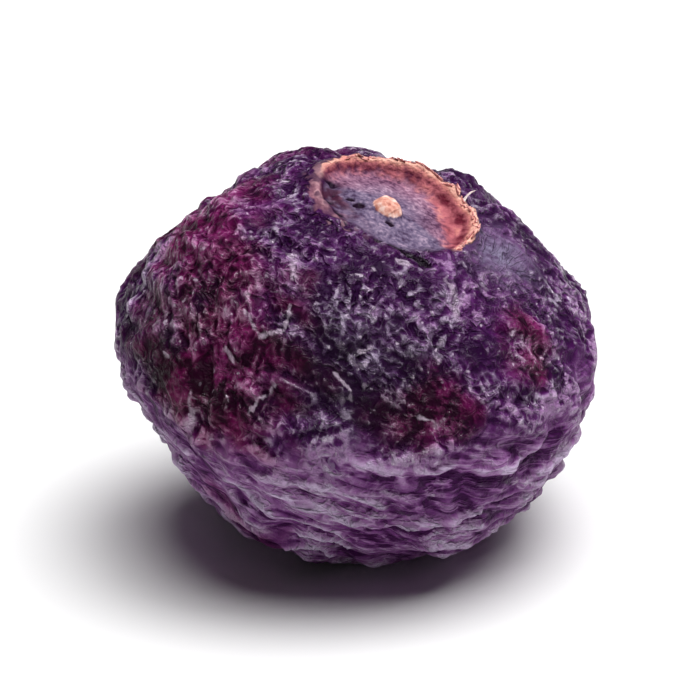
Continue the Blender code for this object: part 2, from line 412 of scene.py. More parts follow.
# The calyx's detail is a height in mm
on_rim = hump(from_calyx, RIM_RADIUS - 0.03 * MM, 0.28 * MM) * above
crest = hump(from_calyx, RIM_RADIUS * (0.96 + 0.03 * bead), 0.12 * MM) * (0.7 + 0.9 * bead)
calyx_detail = on_rim * (tan_side + 0.9 * left_side) * (0.13 * strand + 0.10 * bead)
calyx_detail += CREST_RISE * crest * tan_side
worn_away = rim_share * lobes * hump(from_calyx, RIM_RADIUS, RIM_WIDTH) * worn
calyx_detail -= 0.7 * RIM_RISE / MM * worn_away
moat = (1.1 - tall) * hump(from_calyx, MOAT_RADIUS, MOAT_WIDTH) * above
calyx_detail += 0.65 * MOAT_DEPTH / MM * moat
crease_path = CREASE_RADIUS + 1.5 * MM * np.maximum(heading - CREASE_HEADING, 0) + 0.10 * MM * bead
crease_ends = smooth_step(*CREASE_LEFT_END, heading) * smooth_step(*CREASE_RIGHT_END, heading)
crease_depth = np.where(heading > CREASE_BROKEN_UP_TO, 1.0, smooth_step(-0.2, 0.4, bead + strand))
crease_line = hump(from_calyx, crease_path, CREASE_WIDTH) * crease_ends * crease_depth * above
calyx_detail -= 0.20 * crease_line

disc_zone = (1 - smooth_step(RIM_RADIUS - 0.35 * MM, RIM_RADIUS - 0.05 * MM, from_calyx)) * above
grain = noise_at(places * 5.2)
hole_noise = noise_at(places * 2.6 + np.array((3.1, 9.7, 5.5)))
hole = np.zeros(len(way))
for across, along, half_width in HOLES:
    off = np.hypot(ball[:, 0] / MM - across, ball[:, 1] / MM - along)
    off = off + 0.12 * grain + 0.06 * hole_noise
    hole = np.maximum(hole, hump(off, 0, half_width) * above)
groove = hump(from_calyx, GROOVE_RADIUS * (1 + 0.03 * bead), 0.06 * MM) * tan_side * (0.7 + 0.8 * bead)

# The style's stub stands off the disc's middle, so the low mound under it moves there with it
from_knob = np.hypot(ball[:, 0] - KNOB_PLACE.x, ball[:, 1] - KNOB_PLACE.y)
knob = np.sqrt(np.clip(1 - (from_knob / KNOB_RADIUS) ** 2, 0, 1)) * above
moved = smooth_step(0.5 * STYLE_RADIUS, 1.3 * STYLE_RADIUS, from_calyx)
moved -= smooth_step(0.5 * STYLE_RADIUS, 1.3 * STYLE_RADIUS, from_knob)
calyx_detail += STYLE_RISE / MM * moved * above - 0.16 * hole - 0.06 * groove
calyx_detail += 0.030 * grain * disc_zone + (0.07 + 0.03 * grain) * knob

relief = middling + FINE_HEIGHT * fine + CRINKLE_HEIGHT * (1 - bare) * crinkle + calyx_detail * MM
skin = form + outwards * relief[:, None]

turn = Matrix.Rotation(LEAN_HEADING, 3, "Z")
resting = np.array(turn @ Matrix.Rotation(LEAN, 3, "Y") @ turn.inverted())
skin = skin @ resting.T + np.array((0, 0, REST_HEIGHT))


def held_inside(places):
    """Eases places that would pass the solid's own box back inside it, and none below the floor."""
    low = np.array(CAD_BOX[0])
    high = np.array(CAD_BOX[1])
    over = np.maximum(places - (high - BOX_MARGIN), 0)
    places = np.where(over > 0, high - BOX_MARGIN * np.exp(-over / BOX_MARGIN), places)
    under = np.maximum(low + BOX_MARGIN - places, 0)
    eased = np.where(under > 0, low + BOX_MARGIN * np.exp(-under / BOX_MARGIN), places)
    eased[:, 2] = np.maximum(places[:, 2], 0)
    return eased


skin = held_inside(skin)
for vertex, place in zip(squared.verts, skin.tolist()):
    vertex.co = place
fruit_mesh = bpy.data.meshes.new("blueberry_skin")
squared.to_mesh(fruit_mesh)
squared.free()
fruit_mesh.shade_smooth()
fruit = bpy.data.objects.new("blueberry_skin", fruit_mesh)
bpy.context.scene.collection.objects.link(fruit)


# Where the skin's colours change. Each value is kept on the mesh for the finish to read.
def patch(polar_deg, heading_deg, reach_deg):
    """1 at a place on the skin, fading to 0 beyond its reach with an uneven edge."""
    middle = np.array(heading_vector(math.radians(polar_deg), math.radians(heading_deg)))
    off = np.arccos(np.clip(way @ middle, -1, 1)) / math.radians(reach_deg)
    return 1 - smooth_step(0.2, 1.5, off + 0.5 * patchy + 0.5 * uneven + 0.5 * broken)


def strongest(patches):
    """The strongest of several patches, each a polar angle, heading, reach and strength."""
    return np.max([share * patch(*place) for *place, share in patches], axis=0)


# Each patch is a polar angle from the calyx, a heading and a reach in degrees, and a strength
MAGENTA_PATCHES = (
    (46, -33, 7, 1.0),
    (54, -38, 8, 1.0),
    (64, -71, 9, 0.9),
    (62, -163, 22, 0.9),
    (46, 178, 17, 0.9),
    (75, -126, 11, 1.0),
    (60, 178, 19, 1.0),
    (58, -170, 15, 1.0),
    (132, -112, 16, 1.0),
    (80, 70, 22, 0.8),
    (55, 120, 16, 0.5),
)
MAROON_PATCHES = (
    (68, -140, 26, 1.0),
    (86, -130, 20, 1.0),
    (70, -76, 10, 0.7),
    (96, 20, 20, 0.8),
    (75, 150, 22, 0.8),
    (120, 70, 18, 1.0),
)
# Dusky, greyer places: partly the skin's own tone, partly painted shade on the front's middle
DUSKY_AND_SHADED_PATCHES = (
    (55, -99, 24, 1.0),
    (63, -80, 13, 1.0),
    (82, -150, 12, 0.6),
    (58, 60, 24, 0.7),
    (90, 120, 20, 0.6),
)
# Darker places: partly the skin's own tone, partly painted shade on the front's middle
DARK_AND_SHADED_PATCHES = (
    (63, -82, 12, 1.0),
    (58, -104, 9, 0.7),
    (91, -147, 13, 0.5),
    (86, -122, 9, 0.7),
    (50, -38, 11, 0.5),
    (70, -50, 16, 0.4),
    (66, -146, 11, 0.7),
    (31, -112, 8, 0.7),
    (135, -100, 14, 0.5),
    (70, 30, 18, 0.8),
    (85, 150, 18, 0.8),
    (105, 45, 20, 0.7),
    (118, 100, 22, 0.7),
    (104, 165, 20, 0.6),
)
# Paler places: partly the skin's own tone, partly painted highlights, as on the upper left shoulder
PALE_AND_HIGHLIT_PATCHES = (
    (40, -124, 9, 1.0),
    (32, -60, 8, 1.0),
    (46, -82, 9, 0.7),
    (72, -118, 8, 0.8),
    (58, -173, 17, 0.9),
    (68, -174, 8, 1.3),
    (48, 180, 8, 1.2),
    (25, -74, 5, 0.8),
    (55, -58, 9, 0.6),
    (105, -100, 22, 0.6),
    (60, 100, 20, 0.8),
    (70, -170, 8, 0.6),
)

# Pale streaks painted on as highlights: both ends of each, as a polar angle and a heading, and its
# half width in mm
PAINTED_HIGHLIGHT_STREAKS = (
    ((24, -86), (24, -80), 0.11),
    ((60, -131), (64, -123), 0.07),
    ((64, -123), (58, -118), 0.10),
    ((58, -118), (50, -120), 0.06),
    ((38, -131), (43, -124), 0.13),
    ((29, -61), (34, -58), 0.14),
    ((34, -58), (38, -59), 0.12),
    ((73, -130), (74, -127), 0.11),
    ((88, -132), (95, -129), 0.05),
    ((84, -117), (74, -114), 0.05),
    ((63, -101), (66, -96), 0.07),
    ((54, -95), (52, -92), 0.08),
    ((69, -77), (69, -74), 0.08),
)
highlight_streak = np.zeros(len(way))
for start_angles, end_angles, half_width in PAINTED_HIGHLIGHT_STREAKS:
    start = np.array(heading_vector(*np.radians(start_angles)))
    run = np.array(heading_vector(*np.radians(end_angles))) - start
    share_along = np.clip((way - start) @ run / (run @ run), 0, 1)
    off = np.linalg.norm(way - start - share_along[:, None] * run, axis=1) * WIDTH / 2
    ragged_off = off + 0.08 * MM * grain
    highlight_streak = np.maximum(highlight_streak, hump(ragged_off, 0, half_width * MM) * (1.0 + 0.4 * broken))

# One flushed place low on the base has no bloom. The far side, which the lamps light from behind,
# has less of it and less paleness on its hems: painted shade there.
FLUSHED_PLACE = (132, -112, 13)
FAR_SIDE = math.radians(80)
flushed = patch(*FLUSHED_PLACE)
far_side = hump(round_from(FAR_SIDE), 0, math.radians(100))
crispness = np.clip(0.85 + 0.9 * uneven + 0.5 * patchy, 0.45, 1.25)
kept = {
    "ridge": 0.42 + 0.38 * np.clip(fine, -1.0, 1.4) + 0.16 * crinkle * (1 - bare),
    "crisp": crispness * (1 - 0.9 * np.maximum(bare, 0.3 * band)),
    "hem": np.clip(hem * band * (1 - 0.8 * far_side) + 0.65 * long_fold, -0.5, 1),
    "fold": 0.5 + middling / (0.9 * CRUMPLED_HEIGHT) * (1 + 0.4 * band),
    "bloom_and_floor_reflection": np.maximum(band * (1 - 0.6 * flushed) * (1 - 0.45 * far_side), smoothed),
    "magenta": strongest(MAGENTA_PATCHES) * (1 - band * (1 - flushed)),
    "maroon": strongest(MAROON_PATCHES) * (1 - 0.8 * band),
    "dusk_and_painted_shade": strongest(DUSKY_AND_SHADED_PATCHES) * (1 - band),
    "from_calyx": np.where(above, from_calyx, WIDTH) / MM,
    "tan_side": tan_side,
    "left_side": left_side,
    "right_side": hump(round_from(RIGHT_SIDE), 0, math.radians(40)),
    "worn": worn,
    "tone_and_painted_light": 0.5 + 0.5 * strongest(PALE_AND_HIGHLIT_PATCHES) - 0.5 * strongest(DARK_AND_SHADED_PATCHES) + 0.3 * patchy,
    "wax": smoothed,
    "knob": knob,
    "strand": 0.5 + 0.30 * strand + 0.35 * bead,
    "hole": np.maximum(hole, crease_line),
    "groove": groove,
    "highlight_streak": highlight_streak,
    "from_stem": np.where(above, WIDTH, from_stem) / MM,
}
for name, values in kept.items():
    layer = fruit_mesh.attributes.new(name, "FLOAT", "POINT")
    layer.data.foreach_set("value", np.ascontiguousarray(values, dtype=np.float32))

# Places for a pattern that runs level round the fruit: 1 is a strand's length or its spacing
STRAND_LENGTH = 1.9 * MM
STRAND_SPACING = 0.42 * MM
around = np.stack((np.cos(heading), np.sin(heading), polar), axis=1)
around *= WIDTH / 2 / np.array((STRAND_LENGTH, STRAND_LENGTH, STRAND_SPACING))
layer = fruit_mesh.attributes.new("around", "FLOAT_VECTOR", "POINT")
layer.data.foreach_set("vector", around.astype(np.float32).ravel())


def add_node(tree, kind, inputs, **settings):
    """Adds a node, makes its settings, and fills its inputs with numbers or other nodes' outputs."""
    node = tree.nodes.new(kind)
    for name, value in settings.items():
        setattr(node, name, value)
    for name, value in inputs.items():
        if isinstance(value, bpy.types.NodeSocket):
            tree.links.new(value, node.inputs[name])
        else:
            node.inputs[name].default_value = value
    return node


def kept_value(tree, name):
    """A value that is kept on the mesh."""
    return add_node(tree, "ShaderNodeAttribute", {}, attribute_name=name).outputs["Fac"]


def fine_noise(tree, places, features_per_mm, detail, distortion=0.0):
    """Even noise, 0 to 1, with so many features in each millimetre."""
    values = {
        "Vector": places,
        "Scale": features_per_mm / MM,
        "Detail": detail,
        "Distortion": distortion,
    }
    return add_node(tree, "ShaderNodeTexNoise", values).outputs["Fac"]


def reckon(tree, operation, first, second=0.0):
    """Works out one operation on one or two values."""
    return add_node(tree, "ShaderNodeMath", {0: first, 1: second}, operation=operation).outputs[0]


def product(tree, first, *others):
    """Multiplies values together, in their order."""
    for other in others:
        first = reckon(tree, "MULTIPLY", first, other)
    return first


def lines_in(tree, noise_value):
    """How far even noise is from its middle, which is 0 along thin winding lines."""
    return reckon(tree, "ABSOLUTE", reckon(tree, "SUBTRACT", noise_value, 0.5))


def step_between(tree, low, high, value):
    """0 where the value is at low and 1 where it is at high, with a smooth step between."""
    values = {"Value": value, "From Min": low, "From Max": high}
    node = add_node(tree, "ShaderNodeMapRange", values, interpolation_type="SMOOTHSTEP")
    return node.outputs["Result"]


def coloured(tree, factor, stops):
    """Runs a factor through colours, each given with its place from 0 to 1."""
    node = add_node(tree, "ShaderNodeValToRGB", {"Fac": factor})
    ramp = node.color_ramp
    while len(ramp.elements) < len(stops):
        ramp.elements.new(0.5)
    for element, (place, colour) in zip(ramp.elements, stops):
        element.position = place
        element.color = (*colour, 1)
    return node.outputs["Color"]


def blended(tree, factor, under, over):
    """Lays one colour over another as strongly as the factor says."""
    node = add_node(tree, "ShaderNodeMix", {0: factor, 6: under, 7: over}, data_type="RGBA")
    return node.outputs[2]


def added_up(tree, start, *parts):
    """Adds values up from a starting number, each given with its weight."""
    total = start
    for value, weight in parts:
        inputs = {0: value, 1: weight, 2: total}
        total = add_node(tree, "ShaderNodeMath", inputs, operation="MULTIPLY_ADD").outputs[0]
    return total


dried_skin = bpy.data.materials.new("dried_skin")
dried_skin.use_nodes = True
tree = dried_skin.node_tree
shader = tree.nodes["Principled BSDF"]
on_fruit = add_node(tree, "ShaderNodeTexCoord", {}).outputs["Object"]
ridge = kept_value(tree, "ridge")
fold = kept_value(tree, "fold")
bloom_and_floor_reflection = kept_value(tree, "bloom_and_floor_reflection")
crisp = kept_value(tree, "crisp")

# Fine puckers between the wrinkles, sharp-edged bits of skin that catch the light and are painted
# paler below as highlights, and dust
pucker = add_node(
    tree,
    "ShaderNodeTexNoise",
    {
        "Vector": on_fruit,
        "Scale": 3.0 / MM,
        "Detail": 3.0,
        "Roughness": 0.6,
        "Offset": 0.9,
        "Gain": 1.8,
        "Distortion": 0.5,
    },
    noise_type="RIDGED_MULTIFRACTAL",
    normalize=True,
).outputs["Fac"]
pucker = product(tree, pucker, crisp)
dust = fine_noise(tree, on_fruit, 9.0, 3.0)
mottle = fine_noise(tree, on_fruit, 0.75, 2.0, 0.4)
blotch = fine_noise(tree, on_fruit, 1.1, 1.0, 0.3)
cluster = step_between(tree, 0.42, 0.62, fine_noise(tree, on_fruit, 0.9, 4.0))
parted = step_between(tree, 0.38, 0.52, fine_noise(tree, on_fruit, 2.4, 1.0))
line = lines_in(tree, fine_noise(tree, on_fruit, 2.6, 1.0, 0.5))
stroke = product(tree, step_between(tree, 0.56, 0.86, ridge), parted)
stroke = added_up(tree, 0.0, (stroke, 1.0), (step_between(tree, 0.07, 0.02, line), 0.35))
stroke = product(tree, stroke, cluster, crisp)

# Long fine strands, level round the base, and the painted shade in the furrows between its folds
level_places = add_node(tree, "ShaderNodeAttribute", {}, attribute_name="around").outputs["Vector"]
long_noise = add_node(
    tree,
    "ShaderNodeTexNoise",
    {"Vector": level_places, "Scale": 1.0, "Detail": 2.5, "Roughness": 0.6, "Distortion": 0.7},
).outputs["Fac"]
strands = product(tree, step_between(tree, 0.07, 0.0, lines_in(tree, long_noise)), bloom_and_floor_reflection)
furrow_shade = product(tree, step_between(tree, 0.34, 0.08, fold), bloom_and_floor_reflection)

# How pale each place is: its own uneven tone, with painted shade in the valleys and furrows and a
# painted highlight on the crests and raised folds. Then the colours of each kind of skin from furrow
# to
# crest: plain violet, the redder patches, the dusky ones, and the base with its waxy bloom and its
# painted reflection of the floor
tone_shade_and_highlight = added_up(
    tree,
    -0.79,
    (step_between(tree, 0.05, 0.85, ridge), 0.32),
    (fold, 0.28),
    (pucker, 0.29),
    (blotch, 0.48),
    (kept_value(tree, "tone_and_painted_light"), 0.34),
    (mottle, 0.55),
    (dust, 0.20),
    (strands, 0.40),
    (kept_value(tree, "hem"), 0.42),
    (furrow_shade, -0.26),
    (bloom_and_floor_reflection, 0.05),
)
plain = coloured(
    tree,
    tone_shade_and_highlight,
    (
        (0.30, (0.0200, 0.0018, 0.0290)),
        (0.54, (0.0370, 0.0027, 0.0480)),
        (0.78, (0.0810, 0.0150, 0.1010)),
        (1.00, (0.300, 0.150, 0.325)),
    ),
)
magenta = coloured(
    tree,
    tone_shade_and_highlight,
    (
        (0.30, (0.0140, 0.0003, 0.0085)),
        (0.54, (0.0750, 0.0014, 0.0380)),
        (0.78, (0.1650, 0.0110, 0.0950)),
        (1.00, (0.41, 0.15, 0.31)),
    ),
)
maroon = coloured(
    tree,
    tone_shade_and_highlight,
    (
        (0.30, (0.0160, 0.0004, 0.0075)),
        (0.54, (0.0620, 0.0016, 0.0280)),
        (0.78, (0.1400, 0.0100, 0.0680)),
        (1.00, (0.38, 0.15, 0.27)),
    ),
)
dusky_and_shaded = coloured(
    tree,
    tone_shade_and_highlight,
    (
        (0.30, (0.0125, 0.0022, 0.0175)),
        (0.54, (0.0205, 0.0046, 0.0285)),
        (0.78, (0.0590, 0.0310, 0.0760)),
        (1.00, (0.270, 0.210, 0.315)),
    ),
)
# The base's paler lavender: its waxy bloom, and in part a painted reflection of the bright floor it
# faces
bloom_and_reflection_colours = coloured(
    tree,
    added_up(tree, 0.15, (tone_shade_and_highlight, 0.60)),
    (
        (0.30, (0.0430, 0.0050, 0.0520)),
        (0.47, (0.1420, 0.0360, 0.1620)),
        (0.62, (0.2600, 0.1080, 0.2800)),
        (0.78, (0.3850, 0.2250, 0.4150)),
        (1.00, (0.56, 0.43, 0.62)),
    ),
)
colour = blended(tree, kept_value(tree, "dusk_and_painted_shade"), plain, dusky_and_shaded)
colour = blended(tree, kept_value(tree, "maroon"), colour, maroon)
colour = blended(tree, kept_value(tree, "magenta"), colour, magenta)
colour = blended(tree, bloom_and_floor_reflection, colour, bloom_and_reflection_colours)

# Dust with painted highlights and painted glints on the crests, painted highlight streaks, and the
# smooth waxy place
DUST_AND_HIGHLIGHT_STRENGTH = 0.44
DUST_AND_HIGHLIGHT_COLOUR = (0.52, 0.43, 0.57, 1)
MAROON_DUST_AND_HIGHLIGHT_COLOUR = (0.54, 0.32, 0.43, 1)
MAGENTA_DUST_AND_HIGHLIGHT_COLOUR = (0.48, 0.19, 0.36, 1)
PAINTED_GLINT_STRENGTH = 0.50
PAINTED_GLINT_COLOUR = (0.62, 0.50, 0.63, 1)
STREAK_HIGHLIGHT_STRENGTH = 0.50
STREAK_HIGHLIGHT_COLOUR = (0.60, 0.48, 0.60, 1)
# Pale strokes on the crests: partly dust, partly a painted highlight where the ridges catch the light
dust_and_highlight = product(tree, stroke, step_between(tree, 0.34, 0.60, tone_shade_and_highlight), DUST_AND_HIGHLIGHT_STRENGTH)
dust_and_highlight_colour = blended(tree, kept_value(tree, "maroon"), DUST_AND_HIGHLIGHT_COLOUR, MAROON_DUST_AND_HIGHLIGHT_COLOUR)
dust_and_highlight_colour = blended(tree, kept_value(tree, "magenta"), dust_and_highlight_colour, MAGENTA_DUST_AND_HIGHLIGHT_COLOUR)
colour = blended(tree, dust_and_highlight, colour, dust_and_highlight_colour)
# Painted glints: small pale specks on the crests
painted_glint = step_between(tree, 0.66, 0.75, fine_noise(tree, on_fruit, 6.5, 0.0))
painted_glint = product(tree, painted_glint, step_between(tree, 0.55, 0.80, ridge), crisp, PAINTED_GLINT_STRENGTH)
colour = blended(tree, painted_glint, colour, PAINTED_GLINT_COLOUR)
speck = fine_noise(tree, on_fruit, 4.5, 3.0)
# Painted highlight streaks, paler where they cross the crests
streaks_highlit = added_up(tree, -0.68, (kept_value(tree, "highlight_streak"), 0.9), (speck, 0.7), (ridge, 0.75))
streaks_highlit = product(tree, step_between(tree, 0.25, 0.85, streaks_highlit), STREAK_HIGHLIGHT_STRENGTH)
colour = blended(tree, streaks_highlit, colour, STREAK_HIGHLIGHT_COLOUR)
waxy_colour = coloured(tree, speck, ((0.34, (0.070, 0.045, 0.095)), (0.65, (0.190, 0.160, 0.250))))
colour = blended(tree, kept_value(tree, "wax"), colour, waxy_colour)

# The calyx: a waxy grey disc inside a rim of dry tan tissue, with the style's tan stub on it.
# Distances from its middle are in mm: the disc ends at about 2.0, and the rim's crest is at 2.4.
from_middle = kept_value(tree, "from_calyx")
on_tan_side = kept_value(tree, "tan_side")
on_left_side = kept_value(tree, "left_side")
on_right_side = kept_value(tree, "right_side")
disc_mottle = fine_noise(tree, on_fruit, 1.5, 2.0, 0.5)
disc_speck = added_up(tree, -0.20, (dust, 0.55), (speck, 0.35), (disc_mottle, 0.50))
disc_colour = coloured(
    tree,
    disc_speck,
    (
        (0.34, (0.046, 0.024, 0.060)),
        (0.45, (0.098, 0.070, 0.130)),
        (0.56, (0.150, 0.110, 0.180)),
        (0.70, (0.300, 0.216, 0.302)),
    ),
)
blushed = coloured(
    tree,
    disc_speck,
    (
        (0.34, (0.074, 0.026, 0.060)),
        (0.45, (0.170, 0.076, 0.132)),
        (0.56, (0.250, 0.122, 0.188)),
        (0.70, (0.400, 0.240, 0.320)),
    ),
)
blush = product(tree, step_between(tree, 0.2, 1.9, from_middle), on_tan_side)
disc_colour = blended(tree, blush, disc_colour, blushed)
ragged = added_up(tree, -0.55, (speck, 0.5), (mottle, 0.6))
disc_edge = added_up(tree, 0.0, (from_middle, 1.0), (ragged, kept_value(tree, "worn")), (ragged, 0.3))
colour = blended(tree, step_between(tree, 2.22, 2.02, disc_edge), colour, disc_colour)
# The rim's tissue is painted lighter towards its crest, in part a painted highlight, and darker in its
# groove, a painted shade
rim_tone_and_painted_light = added_up(
    tree,
    -0.42,
    (kept_value(tree, "strand"), 0.85),
    (speck, 0.75),
    (step_between(tree, 2.18, 2.32, from_middle), 0.68),
    (kept_value(tree, "groove"), -0.36),
    (on_left_side, -0.34),
)
bright_rim = coloured(
    tree,
    rim_tone_and_painted_light,
    (
        (0.12, (0.110, 0.012, 0.026)),
        (0.42, (0.360, 0.100, 0.122)),
        (0.74, (0.580, 0.216, 0.190)),
        (1.00, (0.780, 0.410, 0.330)),
    ),
)
dull_rim = coloured(
    tree,
    rim_tone_and_painted_light,
    (
        (0.12, (0.040, 0.008, 0.024)),
        (0.40, (0.125, 0.046, 0.084)),
        (0.66, (0.220, 0.092, 0.130)),
        (1.00, (0.460, 0.250, 0.280)),
    ),
)

# The rim's tissue starts at the foot of its wall and ends outside its crest, with frayed edges
frayed = added_up(tree, -0.25, (from_middle, 1.0), (speck, 0.5))
lumpy = added_up(tree, -0.75, (frayed, 1.0), (mottle, 0.9), (pucker, 0.6))
dull_share = product(
    tree,
    step_between(tree, 1.40, 1.75, frayed),
    on_left_side,
    step_between(tree, 2.60, 2.30, lumpy),
    added_up(tree, 0.30, (parted, 0.70)),
)
wall_foot = added_up(tree, -0.56, (from_middle, 1.0), (speck, 0.7), (on_right_side, 0.48))
bright_share = product(
    tree,
    step_between(tree, 1.62, 2.14, wall_foot),
    on_tan_side,
    step_between(tree, 2.46, 2.36, frayed),
    added_up(tree, 1.0, (on_left_side, -0.8)),
)
colour = blended(tree, dull_share, colour, dull_rim)
colour = blended(tree, bright_share, colour, bright_rim)
style_colour = coloured(
    tree,
    speck,
    (
        (0.35, (0.36, 0.12, 0.09)),
        (0.50, (0.60, 0.29, 0.23)),
        (0.65, (0.78, 0.54, 0.48)),
    ),
)
on_knob = step_between(tree, 0.05, 0.35, kept_value(tree, "knob"))
colour = blended(tree, on_knob, colour, style_colour)
# The holes and the crease on the near side are painted near black: painted shade in them
HOLE_SHADE_COLOUR = (0.012, 0.003, 0.014, 1)
in_hole_shade = step_between(tree, 0.12, 0.45, kept_value(tree, "hole"))
colour = blended(tree, in_hole_shade, colour, HOLE_SHADE_COLOUR)

# The stem scar: a pale, corky lip round a dark pit, by the distance from its middle in mm
PIT_COLOUR = (0.020, 0.008, 0.010, 1)
from_stalk = kept_value(tree, "from_stem")
lip_colour = coloured(tree, speck, ((0.35, (0.10, 0.045, 0.035)), (0.65, (0.34, 0.20, 0.14))))
colour = blended(tree, step_between(tree, 1.15, 0.85, from_stalk), colour, lip_colour)
colour = blended(tree, step_between(tree, 0.66, 0.5, from_stalk), colour, PIT_COLOUR)
tree.links.new(colour, shader.inputs["Base Color"])

# Crests are glossier than furrows, and the finest relief is in the bump
gloss = added_up(tree, 0.42, (ridge, -0.25), (dust, 0.35))
tree.links.new(gloss, shader.inputs["Roughness"])
shader.inputs["Specular IOR Level"].default_value = 0.05
shiny = step_between(tree, 0.42, 0.80, added_up(tree, 0.0, (ridge, 0.55), (pucker, 0.45)))
tree.links.new(product(tree, shiny, 0.5), shader.inputs["Coat Weight"])
shader.inputs["Coat Roughness"].default_value = 0.12

fibres = product(tree, rim_tone_and_painted_light, reckon(tree, "MAXIMUM", bright_share, dull_share))
edges = added_up(tree, 0.0, (pucker, 1.0), (stroke, 0.5), (strands, 0.6), (fibres, 0.7))
edge_bump = add_node(tree, "ShaderNodeBump", {"Height": edges, "Distance": 0.10 * MM, "Strength": 1.0})
dust_bump = add_node(
    tree,
    "ShaderNodeBump",
    {"Height": dust, "Distance": 0.022 * MM, "Strength": 0.8, "Normal": edge_bump.outputs[0]},
)
tree.links.new(dust_bump.outputs[0], shader.inputs["Normal"])
tree.links.new(dust_bump.outputs[0], shader.inputs["Coat Normal"])

fruit_mesh.materials.append(dried_skin)
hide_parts("blueberry")
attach(fruit, "root")


# The shreds along the rim
# What is left of the flower's five sepals: slivers of dry, papery tissue a quarter of a millimetre
# long, which grow out of the rim and lie along its crest where it hasn't worn away.
SHREDS = 90
SHRED_SIDES = 7
SHRED_SEGMENTS = 3
SHRED_POINT = 0.01 * MM
SHRED_FLATNESS = 0.45
SHRED_TILT = 0.16
SHRED_LENGTH = 0.27 * MM
SHRED_WIDTH = 0.065 * MM
SHRED_SCATTER = 0.055 * MM
SHRED_SEED = 7
CREST_RADIUS = RIM_RADIUS - 0.08 * MM
CREST_START = TAN_SIDE - math.radians(99)
CREST_END = TAN_SIDE + math.radians(89)
CREST_STEPS = 120


def skin_place(middle_heading, radius):
    """The place on the finished skin at a heading round the calyx and a distance from its middle."""
    off = np.hypot(round_from(middle_heading) * radius, from_calyx - radius) + (~above) * WIDTH
    return skin[np.argmin(off)]


crest_line = bpy.data.meshes.new("crest_line")
crest_headings = np.linspace(CREST_START, CREST_END, CREST_STEPS)
crest_points = [skin_place(step, CREST_RADIUS).tolist() for step in crest_headings]
crest_line.from_pydata(crest_points, [(step, step + 1) for step in range(CREST_STEPS - 1)], [])
shreds = bpy.data.objects.new("sepal_shreds", crest_line)
bpy.context.scene.collection.objects.link(shreds)


def fibrous_tissue(name, fibres_per_mm, stops, smooth_at, rough_at):
    """Thin dry tissue with fibres that colour, roughen and raise it."""
    material = bpy.data.materials.new(name)
    material.use_nodes = True
    tree = material.node_tree
    shader = tree.nodes["Principled BSDF"]
    places = add_node(tree, "ShaderNodeTexCoord", {}).outputs["Object"]
    fibre = fine_noise(tree, places, fibres_per_mm, 3.0, 0.4)
    tree.links.new(coloured(tree, fibre, stops), shader.inputs["Base Color"])
    tree.links.new(step_between(tree, smooth_at, rough_at, fibre), shader.inputs["Roughness"])
    bump = add_node(tree, "ShaderNodeBump", {"Height": fibre, "Distance": 0.02 * MM, "Strength": 0.8})
    tree.links.new(bump.outputs[0], shader.inputs["Normal"])
    return material


TAN_COLOURS = ((0.34, (0.34, 0.09, 0.09)), (0.48, (0.53, 0.19, 0.18)), (0.66, (0.70, 0.33, 0.30)))
papery = fibrous_tissue("papery_tissue", 4.0, TAN_COLOURS, 0.2, 1.6)

growing = bpy.data.node_groups.new("shreds_along_a_crest", "GeometryNodeTree")
growing.interface.new_socket("Crest", in_out="INPUT", socket_type="NodeSocketGeometry")
shred_inputs = {
    "Count": ("NodeSocketInt", SHREDS),
    "Length": ("NodeSocketFloat", SHRED_LENGTH),
    "Width": ("NodeSocketFloat", SHRED_WIDTH),
    "Scatter": ("NodeSocketFloat", SHRED_SCATTER),
    "Seed": ("NodeSocketInt", SHRED_SEED),
    "Finish": ("NodeSocketMaterial", papery),
}
for name, (kind, value) in shred_inputs.items():
    growing.interface.new_socket(name, in_out="INPUT", socket_type=kind)
growing.interface.new_socket("Shreds", in_out="OUTPUT", socket_type="NodeSocketGeometry")
given = add_node(growing, "NodeGroupInput", {}).outputs
curve = add_node(growing, "GeometryNodeMeshToCurve", {"Mesh": given["Crest"]}).outputs["Curve"]
along = add_node(
    growing,
    "GeometryNodeCurveToPoints",
    {"Curve": curve, "Count": given["Count"]},
    mode="COUNT",
)


def drawn_anew(low, high, seed_step, kind="FLOAT"):
    """A number or vector drawn anew for each shred."""
    seed = reckon(growing, "ADD", given["Seed"], seed_step)
    node = add_node(growing, "FunctionNodeRandomValue", {"Seed": seed}, data_type=kind)
    sockets = [socket for socket in node.inputs if socket.enabled and socket.name in ("Min", "Max")]
    sockets[0].default_value = low
    sockets[1].default_value = high
    return next(socket for socket in node.outputs if socket.enabled)


off_line = add_node(
    growing,
    "ShaderNodeVectorMath",
    {0: drawn_anew((-1, -1, -0.4), (1, 1, 0.3), 1, "FLOAT_VECTOR"), "Scale": given["Scatter"]},
    operation="SCALE",
)
scattered = add_node(
    growing,
    "GeometryNodeSetPosition",
    {"Geometry": along.outputs["Points"], "Offset": off_line.outputs[0]},
)
along_crest = add_node(
    growing,
    "FunctionNodeAlignRotationToVector",
    {"Vector": along.outputs["Tangent"]},
    axis="Z",
)
most_turned = (SHRED_TILT, SHRED_TILT, 3.1)
least_turned = (-SHRED_TILT, -SHRED_TILT, -3.1)
lying = add_node(
    growing,
    "FunctionNodeRotateRotation",
    {0: along_crest.outputs[0], 1: drawn_anew(least_turned, most_turned, 2, "FLOAT_VECTOR")},
    rotation_space="LOCAL",
)
sliver = add_node(
    growing,
    "GeometryNodeMeshCone",
    {
        "Vertices": SHRED_SIDES,
        "Side Segments": SHRED_SEGMENTS,
        "Radius Top": SHRED_POINT,
        "Radius Bottom": given["Width"],
        "Depth": given["Length"],
    },
    fill_type="NGON",
)
flattened = add_node(
    growing,
    "GeometryNodeTransform",
    {"Geometry": sliver.outputs["Mesh"], "Scale": (1.0, SHRED_FLATNESS, 1.0)},
)
